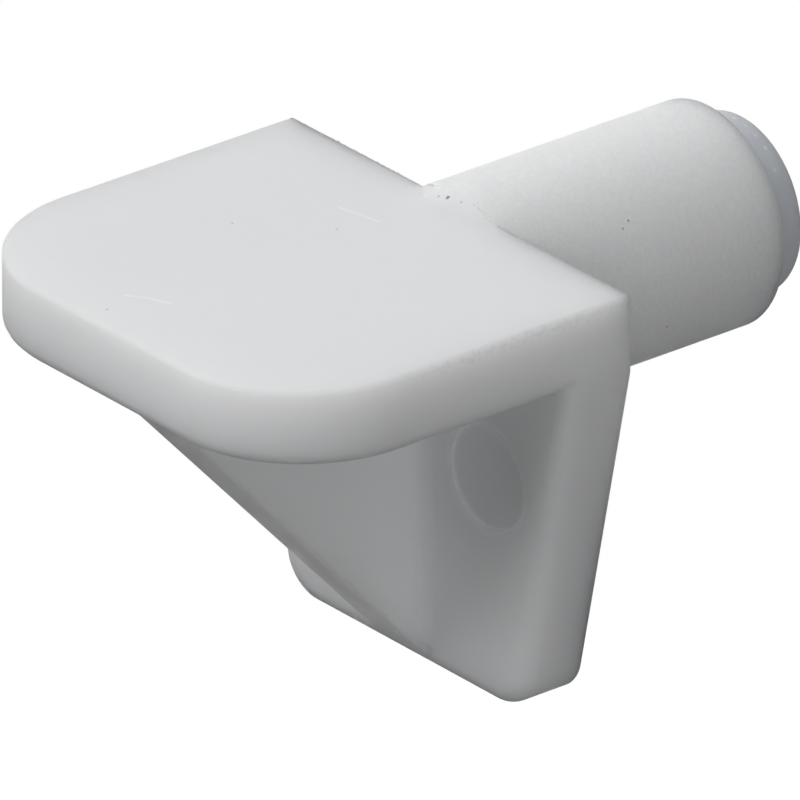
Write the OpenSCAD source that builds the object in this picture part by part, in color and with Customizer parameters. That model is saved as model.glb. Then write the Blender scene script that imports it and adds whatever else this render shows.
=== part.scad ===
// Moulded shelf support: a seat that carries the shelf, a tapering heel that bears on
// the cabinet wall, a gusset between the two, and a round peg for a drilled hole.
// Frame: origin on the peg's centre line in the plane of the wall, +Y into the wall,
// +Z up, and X across the support, which is symmetric about X = 0.

/* [Seat] */
// Width of the seat, and of the heel where it leaves the seat
seat_w = 11.2; // [10:0.1:14]
// How far the seat reaches out from the wall
seat_d = 9.35; // [8:0.05:12]
// Thickness of the seat
seat_t = 1.75; // [1.3:0.05:2]
// Height of the seat's top above the peg's centre line
seat_top = 2.2; // [1.9:0.05:2.4]
// Radius of the two front corners, seen from above
seat_corner_r = 3.2; // [1.5:0.1:4]
// Round on the upper edge
seat_edge_r = 0.12; // [0.06:0.02:0.4]
// Round on the lower edge
seat_under_r = 0.3; // [0.06:0.02:0.4]

/* [Heel] */
// Thickness of the heel
heel_t = 1.55; // [1.2:0.05:2.2]
// Depth of the heel below the peg's centre line
heel_drop = 7.75; // [6.5:0.05:10]
// Width of the heel at its foot, before its corners are rounded
heel_foot_w = 7.7; // [6:0.1:9.5]
// Radius of the two lower corners
heel_corner_r = 1.05; // [0.6:0.05:1.5]
// Round on the edge that faces the room
heel_edge_r = 0.42; // [0.1:0.02:0.5]

/* [Gusset] */
// Thickness of the gusset
gusset_t = 1.75; // [1.2:0.05:2.2]
// Distance between the gusset's toe and the front of the seat
gusset_setback = 0.55; // [0.3:0.05:2]
// Distance between the gusset's sloping face and the wall, at the foot of the heel
gusset_foot = 1.3; // [1:0.05:1.5]
// Round on the two long edges of the sloping face
gusset_edge_r = 0.12; // [0.06:0.02:0.3]

/* [Root fillets] */
// Fillet where the seat, the heel and the gusset meet
root_r = 0.35; // [0.15:0.05:0.5]

/* [Peg] */
// Diameter of the peg
peg_d = 5; // [4.9:0.05:6.4]
// Length of the peg from the wall to its shoulder
peg_l = 6.8; // [5:0.1:10]
// Round on the rim of the shoulder
peg_rim_r = 0.1; // [0.04:0.02:0.2]
// How far the root of the peg ramps forward onto the seat
crown_l = 0.55; // [0.2:0.05:0.8]
// Diameter of the nose where it leaves the shoulder
nose_d = 4.3; // [3.8:0.05:4.5]
// Diameter of the nose at its end, before its edge is rounded
nose_tip_d = 3.95; // [3.4:0.05:4]
// Length of the nose
nose_l = 0.95; // [0.6:0.05:1.5]
// Round on the end of the nose
nose_edge_r = 0.25; // [0.1:0.05:0.4]

/* [Ejector marks] */
// Diameter of each mark on the face of the heel
mark_d = 2.6; // [1.5:0.1:2.7]
// Depth of each mark
mark_depth = 0.1; // [0.04:0.01:0.2]
// Width of the sloping edge of each mark
mark_edge = 0.18; // [0.06:0.02:0.3]
// Distance of each mark's centre from the middle of the heel
mark_x = 2.8; // [2.75:0.05:3.2]
// Depth of each mark's centre below the peg's centre line
mark_drop = 2.6; // [2:0.05:4]

/* [Hidden] */
$fn = 64;

// How deep the pieces of the moulding run into each other
bite = 0.1;
// Turned corners stand this much proud, so that their faces cross the straight edges
hair = 0.002;
// Turn of each corner that points its seam into the slab
seam_turn = -42;

peg_r = peg_d / 2;
under_z = seat_top - seat_t;
foot_z = -heel_drop;

// The heel's sloping side, and the distance across to the line of its corner centres
side_run = [(seat_w - heel_foot_w) / 2, under_z - foot_z];
side_inset = heel_corner_r * norm(side_run) / side_run.y;
function side_x(z) = heel_foot_w / 2 + (z - foot_z) * side_run.x / side_run.y;

// The gusset's sloping face, from its foot up to its toe
slope_run = [gusset_setback - seat_d + gusset_foot, under_z - foot_z];
function slope_y(z) = (z - foot_z) * slope_run.x / slope_run.y - gusset_foot;

module shelf_support() {
    color("whitesmoke") difference() {
        union() {
            seat();
            heel();
            gusset();
            root_fillets();
            peg();
        }
        ejector_marks();
    }
}

// Plate under the shelf, square at the wall and round at its front corners
module seat() {
    centre_x = seat_w / 2 - seat_corner_r;
    front_y = seat_corner_r - seat_d;
    back_y = 2 * seat_corner_r;
    centres = [[-centre_x, front_y], [-centre_x, back_y], [centre_x, back_y], [centre_x, front_y]];
    intersection() {
        translate([0, 0, under_z])
            soft_slab(centres, seat_corner_r, seat_t, seat_edge_r, seat_under_r);
        trim_box([-seat_d, 0], [under_z - bite, seat_top + bite]);
    }
}

// Plate that bears on the wall, tapering down to a foot with round corners
module heel() {
    low_z = foot_z + heel_corner_r;
    low_x = side_x(low_z) - side_inset;
    high_z = seat_top + heel_corner_r;
    high_x = side_x(high_z) - side_inset;
    centres = [[-low_x, low_z], [-high_x, high_z], [high_x, high_z], [low_x, low_z]];
    intersection() {
        rotate([90, 0, 0]) soft_slab(centres, heel_corner_r, heel_t, heel_edge_r, 0);
        trim_box([-heel_t - bite, bite], [foot_z, under_z + seat_t / 2]);
    }
}

// Web that props the seat from the heel, its sloping face rounded along both edges.
// It is cut from a larger web, so that the section alone makes its faces.
module gusset() {
    run_past = 2 * gusset_edge_r;
    intersection() {
        translate([0, -bite, 0]) web(gusset_t + 2 * bite);
        translate([0, -gusset_foot, foot_z])
            rotate([atan2(-slope_run.x, slope_run.y), 0, 0])
                translate([0, 0, -run_past])
                    linear_extrude(norm(slope_run) + 2 * run_past) gusset_section();
    }
}

// Section square to the sloping face, which lies along the X axis
module gusset_section() {
    for (side = [0, 1]) mirror([side, 0, 0])
        difference() {
            square([gusset_t / 2, heel_drop + seat_d]);
            translate([gusset_t / 2, 0]) mirror([1, 0, 0]) cove_section(gusset_edge_r);
        }
}

// Triangle between the seat and the heel
module web(thickness) {
    top_z = under_z + bite;
    low_z = foot_z + bite;
    back_y = -heel_t / 2;
    rotate([90, 0, 90])
        linear_extrude(thickness, center = true)
            polygon([[slope_y(top_z), top_z], [back_y, top_z], [back_y, low_z], [slope_y(low_z), low_z]]);
}

// Fillets in the inner corners; those beside the gusset end just short of its sloping face
module root_fillets() {
    half_seam = seat_w / 2 - heel_edge_r - bite;
    short_of_slope = 2 * gusset_edge_r;
    translate([-half_seam, -heel_t, under_z])
        rotate([90, 0, 90]) mirror([1, 1, 0]) cove(2 * half_seam);
    intersection() {
        for (side = [0, 1]) mirror([side, 0, 0]) {
            translate([gusset_t / 2, -heel_t, foot_z])
                mirror([0, 1, 0]) cove(under_z - foot_z);
            translate([gusset_t / 2, 0, under_z])
                rotate([90, 0, 0]) mirror([0, 1, 0]) cove(seat_d);
        }
        translate([0, short_of_slope, 0]) web(gusset_t + 4 * root_r);
    }
}

// Peg with a ramp at its root, a shoulder and a smaller drafted nose
module peg() {
    nose_run = [(nose_d - nose_tip_d) / 2, nose_l];
    rim = [peg_r - peg_rim_r, peg_l - peg_rim_r];
    edge_y = peg_l + nose_l - nose_edge_r;
    edge_x = nose_tip_d / 2 + nose_edge_r * (nose_run.x - norm(nose_run)) / nose_run.y;
    edge = [edge_x, edge_y];
    rotate([-90, 0, 0]) rotate_extrude() {
        polygon([
            [0, -crown_l], [seat_top, -crown_l], [peg_r, 0],
            [peg_r, rim.y], [rim.x, peg_l], [0, peg_l],
        ]);
        translate(rim) circle(peg_rim_r);
        polygon([
            [0, peg_l - bite], [nose_d / 2, peg_l - bite], [nose_d / 2, peg_l],
            edge + nose_edge_r * [nose_run.y, nose_run.x] / norm(nose_run),
            [edge.x, peg_l + nose_l], [0, peg_l + nose_l],
        ]);
        translate(edge) circle(nose_edge_r);
    }
}

// Shallow round dents that the mould's ejector pins leave on the face of the heel
module ejector_marks() {
    for (side = [-1, 1])
        translate([side * mark_x, -heel_t - mark_depth, -mark_drop])
            rotate([-90, 0, 0])
                cylinder(h = 2 * mark_depth, d1 = mark_d + 2 * mark_edge, d2 = mark_d - 2 * mark_edge);
}

// Block as wide as the seat, between two depths and two heights
module trim_box(y_span, z_span) {
    translate([-seat_w / 2, y_span[0], z_span[0]])
        cube([seat_w, y_span[1] - y_span[0], z_span[1] - z_span[0]]);
}

// Slab with an edge all round that reaches out from a line of centres, listed clockwise.
// Its corners are turned to that reach, and its upper and lower edges are rounded.
module soft_slab(centres, reach, thickness, upper_r, lower_r) {
    linear_extrude(thickness) polygon(centres);
    for (i = [0 : len(centres) - 1]) {
        start = centres[i];
        run = centres[(i + 1) % len(centres)] - start;
        translate([start.x, start.y, 0]) rotate([0, 0, atan2(run.y, run.x)]) {
            rotate([0, 0, seam_turn])
                rotate_extrude() soft_edge(reach + hair, thickness, upper_r, lower_r);
            rotate([90, 0, 90])
                linear_extrude(norm(run)) {
                    soft_edge(reach, thickness, upper_r, lower_r);
                    translate([-bite, 0]) square([2 * bite, thickness]);
                }
        }
    }
}

// Section of a slab's edge, from the line of centres outwards
module soft_edge(reach, thickness, upper_r, lower_r) {
    difference() {
        square([reach, thickness]);
        translate([reach, thickness]) rotate(180) cove_section(upper_r);
        if (lower_r > 0) translate([reach, 0]) rotate(90) cove_section(lower_r);
    }
}

// Fillet bar along +Z in the inner corner of the planes X = 0 and Y = 0
module cove(length) {
    linear_extrude(length) {
        cove_section(root_r);
        translate([-bite, -bite]) square([bite, root_r + bite]);
        translate([-bite, -bite]) square([root_r + bite, bite]);
    }
}

// Corner left outside a quarter circle, with its sharp point at the origin
module cove_section(r) {
    difference() {
        square(r);
        translate([r, r]) circle(r);
    }
}

shelf_support();
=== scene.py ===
import math

import bmesh
import bpy
from mathutils import Matrix, Vector, noise


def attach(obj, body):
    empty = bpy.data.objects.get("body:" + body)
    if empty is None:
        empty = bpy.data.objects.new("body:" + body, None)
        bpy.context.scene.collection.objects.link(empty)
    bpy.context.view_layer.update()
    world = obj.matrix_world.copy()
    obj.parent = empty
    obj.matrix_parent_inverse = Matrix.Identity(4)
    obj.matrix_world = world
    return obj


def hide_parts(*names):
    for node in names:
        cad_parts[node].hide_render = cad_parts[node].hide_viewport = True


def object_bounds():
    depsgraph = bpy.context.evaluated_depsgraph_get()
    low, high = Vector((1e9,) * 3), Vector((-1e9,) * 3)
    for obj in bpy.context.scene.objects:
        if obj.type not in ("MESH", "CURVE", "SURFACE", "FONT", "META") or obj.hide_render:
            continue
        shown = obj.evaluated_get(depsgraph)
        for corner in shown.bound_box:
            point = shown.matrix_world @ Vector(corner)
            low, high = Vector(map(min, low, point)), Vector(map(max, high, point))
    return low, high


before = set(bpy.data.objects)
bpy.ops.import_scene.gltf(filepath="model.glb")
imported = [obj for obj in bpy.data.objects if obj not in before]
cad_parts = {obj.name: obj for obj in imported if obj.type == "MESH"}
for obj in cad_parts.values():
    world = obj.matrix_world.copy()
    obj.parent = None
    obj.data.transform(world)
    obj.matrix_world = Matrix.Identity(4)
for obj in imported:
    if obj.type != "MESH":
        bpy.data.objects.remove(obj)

# Meshes are modelled in millimetres and brought to metres when they are finished
MM = 0.001
cad_low, cad_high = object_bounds()

# Seat, from the frame
SEAT_W = (cad_high.x - cad_low.x) / MM
SEAT_D = -cad_low.y / MM
SEAT_TOP = 2.2
SEAT_T = 1.75
UNDER_Z = SEAT_TOP - SEAT_T
SEAT_CORNER_R = 3.2
SEAT_EDGE_R = 0.12
SEAT_UNDER_R = 0.3

# Heel
FOOT_Z = cad_low.z / MM
HEEL_T = 1.55
HEEL_FOOT_W = 7.7
HEEL_CORNER_R = 1.05
HEEL_EDGE_R = 0.42

# Gusset
GUSSET_T = 1.75
GUSSET_SETBACK = 0.55
GUSSET_FOOT = 1.3
GUSSET_EDGE_R = 0.12
ROOT_R = 0.35

# Peg
PEG_R = cad_high.z / MM
PEG_L = 6.8
PEG_RIM_R = 0.1
CROWN_L = 0.55
NOSE_R = 2.15
NOSE_TIP_R = 1.975
NOSE_END = cad_high.y / MM
NOSE_EDGE_R = 0.25

# Ejector marks
MARK_R = 1.3
MARK_DEPTH = 0.1
MARK_EDGE = 0.18
MARK_X = 2.8
MARK_Z = -2.6

# How deep the parts of the moulding run into each other before they are joined
BITE = 0.1
# Raised rim at the foot of each mark's edge: its radius, and the radius of its round section
RING_R = 1.2
RING_T = 0.05
RING_SINK = 0.056
# Flash left where the halves of the mould meet: its thickness, its heights and how deep it is rooted
FLASH_T = 0.04
FLASH_H = 0.045
CROWN_FLASH_H = 0.13
FLASH_ROOT = 0.04
# Distance between the flash's points, and how far it keeps from the wall and from the seat's rounds
FLASH_STEP = 0.045
FLASH_SETBACK = 0.03
# Where the flash on the seat's rear edge starts, each side of the middle
EDGE_FLASH_X = 1.3
# Flash round the crown: degrees each side of the top, depth of its line, and its lean out and forward
CROWN_FLASH_TURN = 29
CROWN_FLASH_SINK = 0.04
CROWN_FLASH_LEAN = (0.9, 0.45)
# Raggedness of the flash: pace of its slow and fast waves, share of the fast one, middle and gain
SLOW_WAVE = 0.45
FAST_WAVE = 1.3
FAST_SHARE = 0.6
WAVE_MIDDLE = 0.35
WAVE_GAIN = 1.2
# Pips on the nose: degrees round from the top towards +X, distance into the wall, and radius
PIPS = [(-14, 7.3, 0.03), (3, 7.4, 0.035), (13, 7.4, 0.03),
        (23, 7.4, 0.04), (33, 7.4, 0.03), (48, 7.3, 0.03)]

# Colours of the plastic: its body, the nose in painted shade, grain, pale pips and the painted highlight
# on the rings, and its marks
BODY = (0.79, 0.80, 0.81, 1)
NOSE_PAINTED_SHADE = (0.68, 0.72, 0.78, 1)
GRAIN = (0.88, 0.89, 0.89, 1)
PALE_AND_HIGHLIGHT = (0.90, 0.93, 0.93, 1)
DIRT = (0.22, 0.22, 0.22, 1)
EDGE_TINT = (0.60, 0.64, 0.70, 1)
SCRATCH = (0.90, 0.90, 0.90, 1)
# Specks of dirt on the seat: across, distance out from the wall, radius and strength
SEAT_SPECKS = [(-0.7, 8.8, 0.035, 0.9), (-2.3, 4.2, 0.03, 0.6), (-0.7, 2.7, 0.03, 0.5)]
# Specks on the peg and its ramp: degrees from the top, distance into the wall, radius and strength
PEG_SPECKS = [(-9, -0.25, 0.035, 0.5), (-3, -0.2, 0.06, 1), (6, -0.15, 0.03, 0.4),
              (49, 3, 0.035, 0.8), (52, 2.8, 0.03, 0.6), (110, 3.7, 0.04, 0.5)]
# Scratches on the seat, each from one place to another: across and distance out from the wall
SCRATCHES = [((-1, 8.1), (-0.6, 7.8)), ((-0.6, 7.8), (-0.1, 7.6)), ((-1.5, 2), (-0.4, 1.8))]
SCRATCH_W = 0.05
# Painted highlight on each ring: its strength, and where it starts and ends to fade beside the ring's
# line
RING_HIGHLIGHT = 0.45
RING_FADE = (0.02, 0.17)
# Scales of the noise in the plastic, per millimetre
SHEEN_SCALE = 2.2
EDGE_TINT_SCALE = 8
GRAIN_SCALE = 11
RAGGED_SCALE = 25
# How far the outlines of specks and scratches wander, and how deep the grain is
RAGGED = 0.08
GRAIN_DEPTH = 0.025

# Stage, in metres
FLOOR_R = 2
FLOOR_Z = -1
LAMP_DISTANCE = 0.3
LAMP_SIZE = 0.3
# Name, degrees round from the front towards +X, degrees up, and watts
LAMPS = [
    ("over_front", 0, 50, 0.53),
    ("front_left", -50, 30, 0.335),
    ("right", 70, 0, 0.28),
    ("back_left", -135, 50, 0.35),
]
WORLD_LIGHT = (0.03, 0.03, 0.03, 1)
# Camera: degrees round from the front towards +X, degrees up, and metres from the origin
CAMERA_AZIMUTH = 50.83
CAMERA_ELEVATION = 25.89
CAMERA_DISTANCE = 0.5168
# Its lens and sensor, and how far it is moved to its left and down, in millimetres
CAMERA_LENS = 1115.6
CAMERA_SENSOR = 36
CAMERA_LEFT = 1.226
CAMERA_DOWN = 2.077

# Axes, as places in a vector
ACROSS = 0
UP = 2
# Distance at which two places count as one, and degrees past which an edge is shaded sharp
TINY = 1e-4
SHARP_ANGLE = 32


def slope_y(z):
    """Where the gusset's sloping face lies at a height."""
    run = (GUSSET_SETBACK - SEAT_D + GUSSET_FOOT) / (UNDER_Z - FOOT_Z)
    return (z - FOOT_Z) * run - GUSSET_FOOT


def on_peg(degrees, along):
    """A place on the ramp, peg or nose, by its turn from the top and its distance into the wall."""
    radius = PEG_R
    if along < 0:
        radius += (PEG_R - SEAT_TOP) * along / CROWN_L
    elif along > PEG_L:
        radius = NOSE_R - (NOSE_R - NOSE_TIP_R) * (along - PEG_L) / (NOSE_END - PEG_L)
    a = math.radians(degrees)
    return Vector((radius * math.sin(a), along, radius * math.cos(a)))


def on_seat(across, out):
    return Vector((across, -out, SEAT_TOP))


def near(a, b):
    return abs(a - b) < TINY


def bevel(bm, edges, width, segments):
    bmesh.ops.bevel(bm, geom=edges, offset=width, offset_type="OFFSET", segments=segments,
                    affect="EDGES", profile=0.5, material=-1, clamp_overlap=True)


def edges_where(bm, test):
    """Edges whose two ends both pass the test."""
    return [e for e in bm.edges if test(e.verts[0].co) and test(e.verts[1].co)]


def level(edge, axis):
    """Whether both ends of an edge are at the same place along an axis."""
    return near(edge.verts[0].co[axis], edge.verts[1].co[axis])


def clear_of_wall(edges):
    """Leaves out the edges that lie in the plane of the wall."""
    return [e for e in edges if min(v.co.y for v in e.verts) < -BITE]


def extrude(bm, face, run):
    """Draws a face out into a solid."""
    grown = bmesh.ops.extrude_face_region(bm, geom=[face])["geom"]
    ends = [v for v in grown if isinstance(v, bmesh.types.BMVert)]
    bmesh.ops.translate(bm, vec=run, verts=ends)


def block(low, high):
    bm = bmesh.new()
    bmesh.ops.create_cube(bm, size=1)
    size = Vector(high) - Vector(low)
    bmesh.ops.scale(bm, vec=size, verts=bm.verts)
    bmesh.ops.translate(bm, vec=(Vector(high) + Vector(low)) / 2, verts=bm.verts)
    return bm


def shape(name, bm):
    """A helper object that is later joined to the moulding."""
    bmesh.ops.recalc_face_normals(bm, faces=bm.faces)
    mesh = bpy.data.meshes.new(name)
    bm.to_mesh(mesh)
    bm.free()
    obj = bpy.data.objects.new(name, mesh)
    bpy.context.scene.collection.objects.link(obj)
    return obj


def seat():
    half = SEAT_W / 2
    bm = block((-half, -SEAT_D, UNDER_Z), (half, 0, SEAT_TOP))
    front = [e for e in edges_where(bm, lambda v: near(v.y, -SEAT_D)) if level(e, ACROSS)]
    bevel(bm, front, SEAT_CORNER_R, segments=32)
    top = clear_of_wall(edges_where(bm, lambda v: near(v.z, SEAT_TOP)))
    bevel(bm, top, SEAT_EDGE_R, segments=10)
    under = clear_of_wall(edges_where(bm, lambda v: near(v.z, UNDER_Z)))
    bevel(bm, under, SEAT_UNDER_R, segments=5)
    return shape("seat", bm)


def heel():
    half = SEAT_W / 2
    bm = block((-half, -HEEL_T, FOOT_Z), (half, 0, UNDER_Z + SEAT_T / 2))
    bmesh.ops.bisect_plane(bm, geom=bm.verts[:] + bm.edges[:] + bm.faces[:],
                           plane_co=(0, 0, UNDER_Z), plane_no=(0, 0, 1))
    foot = [v for v in bm.verts if near(v.co.z, FOOT_Z)]
    bmesh.ops.scale(bm, vec=(HEEL_FOOT_W / SEAT_W, 1, 1), verts=foot)
    lean = math.atan2((SEAT_W - HEEL_FOOT_W) / 2, UNDER_Z - FOOT_Z)
    corner = HEEL_CORNER_R * math.tan((math.pi / 2 - lean) / 2)
    low = [e for e in edges_where(bm, lambda v: near(v.z, FOOT_Z)) if level(e, ACROSS)]
    bevel(bm, low, corner, segments=20)
    front = [e for e in edges_where(bm, lambda v: near(v.y, -HEEL_T))
             if not level(e, UP) or near(e.verts[0].co.z, FOOT_Z)]
    bevel(bm, front, HEEL_EDGE_R, segments=10)
    return shape("heel", bm)


def web_face(bm):
    """Side view of the web."""
    top_z, low_z, back_y = UNDER_Z + BITE, FOOT_Z + BITE, -HEEL_T / 2
    corners = [(slope_y(top_z), top_z), (back_y, top_z), (back_y, low_z), (slope_y(low_z), low_z)]
    return bm.faces.new([bm.verts.new((-GUSSET_T / 2, y, z)) for y, z in corners])


def gusset():
    bm = bmesh.new()
    extrude(bm, web_face(bm), (GUSSET_T, 0, 0))
    slope = [e for e in edges_where(bm, lambda v: near(v.y, slope_y(v.z))) if level(e, ACROSS)]
    bevel(bm, slope, GUSSET_EDGE_R, segments=5)
    return shape("gusset", bm)


def cove_bar(length):
    """Bar along +Z that fills the corner of the planes X = 0 and Y = 0 with a hollow round."""
    bm = bmesh.new()
    first = bm.verts.new((ROOT_R, 0, 0))
    bmesh.ops.spin(bm, geom=[first], cent=(ROOT_R, ROOT_R, 0), axis=(0, 0, 1), angle=-math.pi / 2,
                   steps=12, use_merge=False)
    bm.verts.ensure_lookup_table()
    hollow = sorted(bm.verts, key=lambda v: v.co.y)
    back = [bm.verts.new(p) for p in ((-BITE, ROOT_R, 0), (-BITE, -BITE, 0), (ROOT_R, -BITE, 0))]
    extrude(bm, bm.faces.new(hollow + back), (0, 0, length))
    return bm


def placed(bm, x_to, y_to, z_to, origin):
    """The bar with its own axes laid along three directions."""
    turn = Matrix((x_to, y_to, z_to)).transposed().to_4x4()
    bmesh.ops.transform(bm, matrix=Matrix.Translation(origin) @ turn, verts=bm.verts)
    return bm


def cut_by_slope(bm):
    """Ends a fillet just short of the gusset's sloping face."""
    inside = 2 * GUSSET_EDGE_R
    slope = Vector((0, slope_y(0) - slope_y(1), -1))
    outwards = Vector((0, slope.z, -slope.y)).normalized()
    done = bmesh.ops.bisect_plane(bm, geom=bm.verts[:] + bm.edges[:] + bm.faces[:],
                                  plane_co=(0, slope_y(0) + inside, 0), plane_no=outwards,
                                  clear_outer=True)
    rim = [e for e in done["geom_cut"] if isinstance(e, bmesh.types.BMEdge)]
    bmesh.ops.contextual_create(bm, geom=rim)
    return bm


def root_fillets():
    along_x, along_y, along_z = Vector((1, 0, 0)), Vector((0, 1, 0)), Vector((0, 0, 1))
    half_seam = SEAT_W / 2 - HEEL_EDGE_R - BITE
    seam_start = (-half_seam, -HEEL_T, UNDER_Z)
    bars = [placed(cove_bar(2 * half_seam), -along_y, -along_z, along_x, seam_start)]
    for side in (-1, 1):
        x = side * GUSSET_T / 2
        bars.append(cut_by_slope(placed(cove_bar(UNDER_Z - FOOT_Z), side * along_x, -along_y, along_z,
                                        (x, -HEEL_T, FOOT_Z))))
        bars.append(cut_by_slope(placed(cove_bar(SEAT_D), side * along_x, -along_z, -along_y,
                                        (x, 0, UNDER_Z))))
    return [shape("root_fillet", bm) for bm in bars]


def arc(centre, radius, start, end, steps):
    """Points on a round of the peg's outline, with angles in degrees from the peg's axis."""
    angles = [math.radians(start + (end - start) * i / steps) for i in range(steps + 1)]
    return [(centre[0] + radius * math.sin(a), centre[1] + radius * math.cos(a)) for a in angles]


def peg():
    """The peg's outline, as radius and distance into the wall, spun round its axis."""
    draft = math.atan2(NOSE_R - NOSE_TIP_R, NOSE_END - PEG_L)
    edge_x = NOSE_TIP_R - NOSE_EDGE_R * (1 - math.sin(draft)) / math.cos(draft)
    outline = [(0, -CROWN_L), (SEAT_TOP, -CROWN_L), (PEG_R, 0)]
    outline += arc((PEG_R - PEG_RIM_R, PEG_L - PEG_RIM_R), PEG_RIM_R, 90, 0, 8)
    outline += [(NOSE_R, PEG_L)]
    outline += arc((edge_x, NOSE_END - NOSE_EDGE_R), NOSE_EDGE_R, 90 - math.degrees(draft), 0, 10)
    outline += [(0, NOSE_END)]
    bm = bmesh.new()
    verts = [bm.verts.new((r, y, 0)) for r, y in outline]
    edges = [bm.edges.new(pair) for pair in zip(verts, verts[1:])]
    bmesh.ops.spin(bm, geom=verts + edges, cent=(0, 0, 0), axis=(0, 1, 0), angle=2 * math.pi,
                   steps=192, use_merge=True)
    bmesh.ops.remove_doubles(bm, verts=bm.verts, dist=TINY)
    return shape("peg", bm)


def ejector_mark(side):
    bm = bmesh.new()
    bmesh.ops.create_cone(bm, cap_ends=True, segments=96, depth=2 * MARK_DEPTH,
                          radius1=MARK_R + MARK_EDGE, radius2=MARK_R - MARK_EDGE)
    bmesh.ops.rotate(bm, cent=(0, 0, 0), matrix=Matrix.Rotation(-math.pi / 2, 3, "X"), verts=bm.verts)
    bmesh.ops.translate(bm, vec=(side * MARK_X, -HEEL_T, MARK_Z), verts=bm.verts)
    return shape("ejector_mark", bm)


def ejector_ring(side):
    """Rim of plastic squeezed up round an ejector mark."""
    bm = bmesh.new()
    bmesh.ops.create_circle(bm, cap_ends=False, segments=12, radius=RING_T)
    upright = Matrix.Rotation(math.pi / 2, 4, "X")
    bmesh.ops.transform(bm, matrix=Matrix.Translation((RING_R, 0, 0)) @ upright, verts=bm.verts)
    bmesh.ops.spin(bm, geom=bm.verts[:] + bm.edges[:], cent=(0, 0, 0), axis=(0, 0, 1), angle=2 * math.pi,
                   steps=96, use_merge=True)
    bmesh.ops.remove_doubles(bm, verts=bm.verts, dist=TINY)
    stand = Matrix.Translation((side * MARK_X, -HEEL_T + RING_SINK, MARK_Z))
    bmesh.ops.transform(bm, matrix=stand @ upright, verts=bm.verts)
    return shape("ejector_ring", bm)


def ridge(points, outwards, sideways, heights, seed):
    """Ragged thin flash along a line of points on the surface, its root sunk in the moulding."""
    steps = len(points) - 1
    section = ((-0.5, -FLASH_ROOT), (-0.5, 0), (0, 1), (0.5, 0), (0.5, -FLASH_ROOT),
               (-0.5, -FLASH_ROOT))
    bm = bmesh.new()
    bmesh.ops.create_grid(bm, x_segments=steps, y_segments=len(section) - 1, size=1)
    for v in bm.verts:
        i = round((v.co.x + 1) / 2 * steps)
        across, out = section[round((v.co.y + 1) / 2 * (len(section) - 1))]
        wave = noise.noise(Vector((i * SLOW_WAVE, seed, 0)))
        wave += FAST_SHARE * noise.noise(Vector((i * FAST_WAVE, seed, 7)))
        reach = heights[i] * min(max(WAVE_MIDDLE + WAVE_GAIN * wave, 0), 1) if 0 < i < steps else 0
        height = out * reach if out > 0 else out
        v.co = points[i] + sideways[i] * FLASH_T * across + outwards[i] * height
    bmesh.ops.remove_doubles(bm, verts=bm.verts, dist=1e-5)
    bmesh.ops.holes_fill(bm, edges=[e for e in bm.edges if e.is_boundary], sides=0)
    return shape("flash", bm)


def flash_round_crown():
    """Along the line where the mould's halves meet, between the ramp and the peg."""
    angles = [math.radians(i) for i in range(-CROWN_FLASH_TURN, CROWN_FLASH_TURN + 1)]
    out, forward = CROWN_FLASH_LEAN
    radial = [Vector((math.sin(a), 0, math.cos(a))) for a in angles]
    along = [Vector((math.cos(a), 0, -math.sin(a))) for a in angles]
    towards = [(r * out + Vector((0, -forward, 0))).normalized() for r in radial]
    points = [r * (PEG_R - CROWN_FLASH_SINK) + Vector((0, -FLASH_SETBACK, 0)) for r in radial]
    below_top = [(PEG_R - 0.006) / math.cos(a) - PEG_R + CROWN_FLASH_SINK for a in angles]
    heights = [min(CROWN_FLASH_H, room) for room in below_top]
    return ridge(points, towards, [t.cross(a) for t, a in zip(towards, along)], heights, 3)


def flash_on_edge(start, end, out, seed):
    """Along a straight rear edge of the seat."""
    steps = round((end - start).length / FLASH_STEP)
    points = [start.lerp(end, i / steps) for i in range(steps + 1)]
    side = (end - start).normalized().cross(out)
    return ridge(points, [out] * len(points), [side] * len(points), [FLASH_H] * len(points), seed)


def flash():
    rear_x = SEAT_W / 2 - SEAT_EDGE_R - FLASH_SETBACK
    upwards = Vector((0, 0.25, 0.97))
    lines = [flash_round_crown()]
    for side in (-1, 1):
        start = Vector((side * EDGE_FLASH_X, -FLASH_SETBACK, SEAT_TOP))
        end = Vector((side * rear_x, -FLASH_SETBACK, SEAT_TOP))
        lines.append(flash_on_edge(start, end, upwards, 11 + side))
    return lines


def pip(centre, radius):
    """Speck of plastic that stands on the surface."""
    bm = bmesh.new()
    bmesh.ops.create_icosphere(bm, subdivisions=2, radius=radius)
    bmesh.ops.translate(bm, vec=centre, verts=bm.verts)
    return shape("pip", bm)


def combine(target, others, operation):
    """Joins or cuts a group of helpers in one step, and removes them."""
    group = bpy.data.collections.new(operation)
    for obj in others:
        group.objects.link(obj)
    step = target.modifiers.new(operation, "BOOLEAN")
    step.operation = operation
    step.operand_type = "COLLECTION"
    step.collection = group
    step.solver = "EXACT"
    bpy.context.view_layer.update()
    graph = bpy.context.evaluated_depsgraph_get()
    made = bpy.data.meshes.new_from_object(target.evaluated_get(graph))
    target.modifiers.clear()
    target.data = made
    for obj in others:
        bpy.data.objects.remove(obj)
    bpy.data.collections.remove(group)


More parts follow.
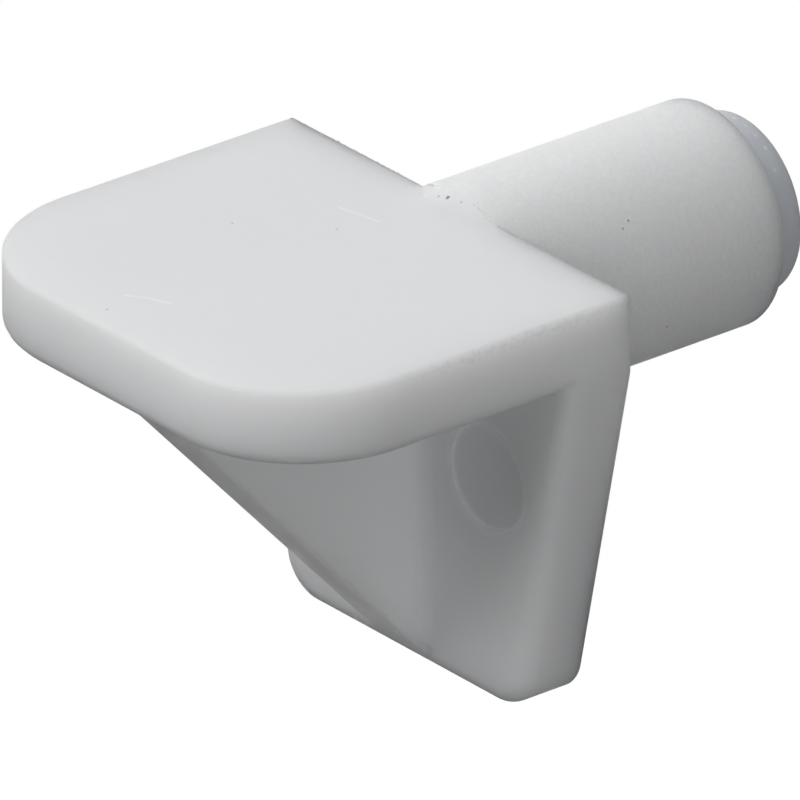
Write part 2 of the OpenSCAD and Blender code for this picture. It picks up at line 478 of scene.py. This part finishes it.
def moulding():
    body = seat()
    combine(body, [heel(), gusset(), peg()] + root_fillets(), "UNION")
    combine(body, [ejector_mark(-1), ejector_mark(1)], "DIFFERENCE")
    extras = flash() + [pip(on_peg(degrees, along), radius) for degrees, along, radius in PIPS]
    combine(body, extras + [ejector_ring(-1), ejector_ring(1)], "UNION")
    bm = bmesh.new()
    bm.from_mesh(body.data)
    bmesh.ops.remove_doubles(bm, verts=bm.verts, dist=TINY)
    bmesh.ops.dissolve_degenerate(bm, dist=TINY, edges=bm.edges)
    for f in bm.faces:
        f.smooth = True
    for e in bm.edges:
        e.smooth = e.is_manifold and e.calc_face_angle(0) < math.radians(SHARP_ANGLE)
    open_edges = [e for e in bm.edges if not e.is_manifold]
    print("moulding:", len(bm.faces), "faces,", len(open_edges), "open edges")
    bmesh.ops.scale(bm, vec=(MM, MM, MM), verts=bm.verts)
    bm.to_mesh(body.data)
    bm.free()
    body.name = body.data.name = "support_moulding"
    body.modifiers.new("even_shading", "WEIGHTED_NORMAL").keep_sharp = True
    return body


def compute(tree, operation, *values):
    """Maths on sockets and numbers."""
    node = tree.nodes.new("ShaderNodeMath")
    node.operation = operation
    for socket, value in zip(node.inputs, values):
        if isinstance(value, bpy.types.NodeSocket):
            tree.links.new(value, socket)
        else:
            socket.default_value = value
    return node.outputs["Value"]


def ramp(tree, value, low, high, to_low=0, to_high=1):
    """Smooth step from one value to another."""
    node = tree.nodes.new("ShaderNodeMapRange")
    node.interpolation_type = "SMOOTHSTEP"
    tree.links.new(value, node.inputs["Value"])
    for name, number in (("From Min", low), ("From Max", high), ("To Min", to_low), ("To Max", to_high)):
        node.inputs[name].default_value = number
    return node.outputs["Result"]


def texture(tree, place, scale, detail):
    node = tree.nodes.new("ShaderNodeTexNoise")
    node.inputs["Scale"].default_value = scale
    node.inputs["Detail"].default_value = detail
    tree.links.new(place, node.inputs["Vector"])
    return node.outputs["Fac"]


def distance_to(tree, place, point):
    node = tree.nodes.new("ShaderNodeVectorMath")
    node.operation = "DISTANCE"
    tree.links.new(place, node.inputs[0])
    node.inputs[1].default_value = point
    return node.outputs["Value"]


def distance_to_line(tree, place, start, end):
    """Distance to a straight stroke: the nearest point on it is held between its two ends."""
    run = Vector(end) - Vector(start)
    offset = tree.nodes.new("ShaderNodeVectorMath")
    offset.operation = "SUBTRACT"
    tree.links.new(place, offset.inputs[0])
    offset.inputs[1].default_value = start
    along = tree.nodes.new("ShaderNodeVectorMath")
    along.operation = "DOT_PRODUCT"
    tree.links.new(offset.outputs["Vector"], along.inputs[0])
    along.inputs[1].default_value = run / run.length_squared
    held = compute(tree, "MINIMUM", compute(tree, "MAXIMUM", along.outputs["Value"], 0), 1)
    nearest = tree.nodes.new("ShaderNodeVectorMath")
    nearest.operation = "SCALE"
    nearest.inputs[0].default_value = run
    tree.links.new(held, nearest.inputs["Scale"])
    gap = tree.nodes.new("ShaderNodeVectorMath")
    gap.operation = "DISTANCE"
    tree.links.new(offset.outputs["Vector"], gap.inputs[0])
    tree.links.new(nearest.outputs["Vector"], gap.inputs[1])
    return gap.outputs["Value"]


def product(tree, first, *others):
    for other in others:
        first = compute(tree, "MULTIPLY", first, other)
    return first


def greatest(tree, first, *others):
    for other in others:
        first = compute(tree, "MAXIMUM", first, other)
    return first


def away_from(tree, value, centre):
    return compute(tree, "ABSOLUTE", compute(tree, "SUBTRACT", value, centre))


def blend(tree, mask, below, above):
    node = tree.nodes.new("ShaderNodeMix")
    node.data_type = "RGBA"
    tree.links.new(mask, node.inputs["Factor"])
    slots = [i for i in node.inputs if i.type == "RGBA"]
    for socket, value in zip(slots, (below, above)):
        if isinstance(value, bpy.types.NodeSocket):
            tree.links.new(value, socket)
        else:
            socket.default_value = value
    return [o for o in node.outputs if o.type == "RGBA"][0]


def place_in_mm(tree):
    source = tree.nodes.new("ShaderNodeTexCoord")
    in_mm = tree.nodes.new("ShaderNodeVectorMath")
    in_mm.operation = "SCALE"
    in_mm.inputs["Scale"].default_value = 1 / MM
    tree.links.new(source.outputs["Object"], in_mm.inputs[0])
    place = in_mm.outputs["Vector"]
    split = tree.nodes.new("ShaderNodeSeparateXYZ")
    tree.links.new(place, split.inputs["Vector"])
    return place, split.outputs["X"], split.outputs["Y"], split.outputs["Z"]


def pale_pips_and_ring_highlight(tree, place, x, y, z):
    """Pale pips on the nose, and a painted highlight on the raised ring round each ejector mark."""
    pips = [ramp(tree, distance_to(tree, place, on_peg(degrees, along)), radius, 2 * radius, 1, 0)
            for degrees, along, radius in PIPS]
    off_axis = tree.nodes.new("ShaderNodeCombineXYZ")
    tree.links.new(compute(tree, "SUBTRACT", compute(tree, "ABSOLUTE", x), MARK_X), off_axis.inputs["X"])
    tree.links.new(compute(tree, "SUBTRACT", z, MARK_Z), off_axis.inputs["Z"])
    from_mark = distance_to(tree, off_axis.outputs["Vector"], (0, 0, 0))
    # Each ejector ring is painted lighter: a painted highlight on its raised rim
    ring = product(tree, ramp(tree, away_from(tree, from_mark, RING_R), *RING_FADE, RING_HIGHLIGHT, 0),
                   ramp(tree, away_from(tree, y, -HEEL_T), 0.15, 0.25, 1, 0))
    return greatest(tree, *pips, ring)


def from_seat_edge(tree, x, y):
    """How far in from the seat's outline, as seen from above."""
    centre_x = SEAT_W / 2 - SEAT_CORNER_R
    centre_y = SEAT_D - SEAT_CORNER_R
    past_x = greatest(tree, compute(tree, "SUBTRACT", compute(tree, "ABSOLUTE", x), centre_x), 0)
    past_y = greatest(tree, compute(tree, "SUBTRACT", product(tree, y, -1), centre_y), 0)
    squares = compute(tree, "ADD", product(tree, past_x, past_x), product(tree, past_y, past_y))
    return compute(tree, "SUBTRACT", SEAT_CORNER_R, compute(tree, "SQRT", squares))


def ragged_edge_tint(tree, place, x, y, z):
    """Ragged bluish-grey band along the rear half of the seat's upper edges."""
    return product(tree, ramp(tree, texture(tree, place, EDGE_TINT_SCALE, 1), 0.5, 0.6, 0, 0.3),
                   ramp(tree, from_seat_edge(tree, x, y), 0.04, 0.14, 1, 0),
                   ramp(tree, z, SEAT_TOP - 0.35, SEAT_TOP - 0.2),
                   ramp(tree, y, -6, -5), ramp(tree, y, 0, 0.02, 1, 0))


def plastic():
    mat = bpy.data.materials.new("white_moulded_plastic")
    mat.use_nodes = True
    tree = mat.node_tree
    shader = tree.nodes["Principled BSDF"]
    place, x, y, z = place_in_mm(tree)
    # The nose is painted darker and bluer than the body: painted shade
    colour = blend(tree, ramp(tree, y, PEG_L - 0.02, PEG_L + 0.1), BODY, NOSE_PAINTED_SHADE)
    # Pips are painted pale; on the ejector rings the pale colour is a painted highlight
    colour = blend(tree, pale_pips_and_ring_highlight(tree, place, x, y, z), colour, PALE_AND_HIGHLIGHT)
    colour = blend(tree, ragged_edge_tint(tree, place, x, y, z), colour, EDGE_TINT)

    # Spark-eroded grain on the peg
    grain = texture(tree, place, GRAIN_SCALE, 2)
    grained = product(tree, ramp(tree, y, -0.1, 0.05), ramp(tree, y, PEG_L - 0.1, PEG_L, 1, 0))
    colour = blend(tree, product(tree, ramp(tree, grain, 0.4, 0.65, 0.1, 0.35), grained), colour, GRAIN)

    # Specks of dirt and scratches, with ragged outlines
    ragged = product(tree, compute(tree, "SUBTRACT", texture(tree, place, RAGGED_SCALE, 0), 0.5), RAGGED)
    specks = [(on_seat(across, out), radius, strength) for across, out, radius, strength in SEAT_SPECKS]
    specks += [(on_peg(degrees, along), radius, strength)
               for degrees, along, radius, strength in PEG_SPECKS]
    spots = []
    for point, radius, strength in specks:
        away = compute(tree, "ADD", distance_to(tree, place, point), ragged)
        spots.append(ramp(tree, away, radius * 0.5, radius, strength, 0))
    colour = blend(tree, greatest(tree, *spots), colour, DIRT)
    strokes = []
    for start, end in SCRATCHES:
        gap = distance_to_line(tree, place, on_seat(*start), on_seat(*end))
        away = compute(tree, "ADD", gap, ragged)
        strokes.append(ramp(tree, away, 0.01, SCRATCH_W, 0.7, 0))
    colour = blend(tree, greatest(tree, *strokes), colour, SCRATCH)
    tree.links.new(colour, shader.inputs["Base Color"])

    sheen = ramp(tree, texture(tree, place, SHEEN_SCALE, 1), 0.3, 0.7, 0.52, 0.68)
    tree.links.new(sheen, shader.inputs["Roughness"])
    bump = tree.nodes.new("ShaderNodeBump")
    bump.inputs["Strength"].default_value = 1
    bump.inputs["Distance"].default_value = GRAIN_DEPTH * MM
    tree.links.new(product(tree, grain, grained, 1.5), bump.inputs["Height"])
    tree.links.new(bump.outputs["Normal"], shader.inputs["Normal"])
    shader.inputs["Specular IOR Level"].default_value = 0.2
    shader.inputs["Subsurface Weight"].default_value = 1
    shader.inputs["Subsurface Radius"].default_value = (1.0, 0.95, 0.9)
    shader.inputs["Subsurface Scale"].default_value = 2.5 * MM
    return mat


def white_to_the_eye(tree):
    """1 where the camera, a reflection or a see-through ray meets the background, and 0 for its light."""
    nodes, links = tree.nodes, tree.links
    ray = nodes.new("ShaderNodeLightPath")
    total = ray.outputs["Is Camera Ray"]
    for kind in ("Is Glossy Ray", "Is Transmission Ray"):
        add = nodes.new("ShaderNodeMath")
        add.operation = "ADD"
        add.use_clamp = True
        links.new(total, add.inputs[0])
        links.new(ray.outputs[kind], add.inputs[1])
        total = add.outputs["Value"]
    return total


def floor():
    bm = bmesh.new()
    bmesh.ops.create_circle(bm, cap_ends=True, segments=64, radius=FLOOR_R)
    bmesh.ops.translate(bm, vec=(0, 0, FLOOR_Z), verts=bm.verts)
    disc = shape("floor", bm)
    mat = bpy.data.materials.new("pale_floor")
    mat.use_nodes = True
    shader = mat.node_tree.nodes["Principled BSDF"]
    shader.inputs["Base Color"].default_value = (0.8, 0.8, 0.8, 1)
    shader.inputs["Roughness"].default_value = 0.9
    shader.inputs["Emission Color"].default_value = (1, 1, 1, 1)
    mat.node_tree.links.new(white_to_the_eye(mat.node_tree), shader.inputs["Emission Strength"])
    disc.data.materials.append(mat)


def studio_world():
    world = bpy.data.worlds.new("studio")
    bpy.context.scene.world = world
    world.use_nodes = True
    nodes, links = world.node_tree.nodes, world.node_tree.links
    soft = nodes["Background"]
    soft.inputs["Color"].default_value = WORLD_LIGHT
    white = nodes.new("ShaderNodeBackground")
    white.inputs["Color"].default_value = (1, 1, 1, 1)
    mix = nodes.new("ShaderNodeMixShader")
    links.new(white_to_the_eye(world.node_tree), mix.inputs["Fac"])
    links.new(soft.outputs["Background"], mix.inputs[1])
    links.new(white.outputs["Background"], mix.inputs[2])
    links.new(mix.outputs["Shader"], nodes["World Output"].inputs["Surface"])


def direction(azimuth, elevation):
    """Towards a place, by degrees round from the front towards +X and degrees up."""
    a, e = math.radians(azimuth), math.radians(elevation)
    return Vector((math.sin(a) * math.cos(e), -math.cos(a) * math.cos(e), math.sin(e)))


def soft_lamp(name, azimuth, elevation, power):
    towards = direction(azimuth, elevation)
    lamp = bpy.data.lights.new(name, "AREA")
    lamp.shape = "DISK"
    lamp.size = LAMP_SIZE
    lamp.energy = power
    obj = bpy.data.objects.new(name, lamp)
    obj.location = towards * LAMP_DISTANCE
    obj.rotation_mode = "QUATERNION"
    obj.rotation_quaternion = towards.to_track_quat("Z", "Y")
    bpy.context.scene.collection.objects.link(obj)


def camera():
    back = direction(CAMERA_AZIMUTH, CAMERA_ELEVATION)
    turn = math.radians(CAMERA_AZIMUTH)
    right = Vector((math.cos(turn), math.sin(turn), 0))
    up = back.cross(right)
    lens = bpy.data.cameras.new("camera")
    lens.lens = CAMERA_LENS
    lens.sensor_width = CAMERA_SENSOR
    lens.clip_start = 0.01
    lens.clip_end = 10
    obj = bpy.data.objects.new("camera", lens)
    obj.location = back * CAMERA_DISTANCE - right * CAMERA_LEFT * MM - up * CAMERA_DOWN * MM
    obj.rotation_mode = "QUATERNION"
    obj.rotation_quaternion = Matrix((right, up, back)).transposed().to_quaternion()
    bpy.context.scene.collection.objects.link(obj)
    bpy.context.scene.camera = obj


piece = moulding()
piece.data.materials.clear()
piece.data.materials.append(plastic())
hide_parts("shelf_support")
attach(piece, "root")
floor()
studio_world()
for lamp in LAMPS:
    soft_lamp(*lamp)
camera()
bpy.context.scene.view_settings.view_transform = "Standard"
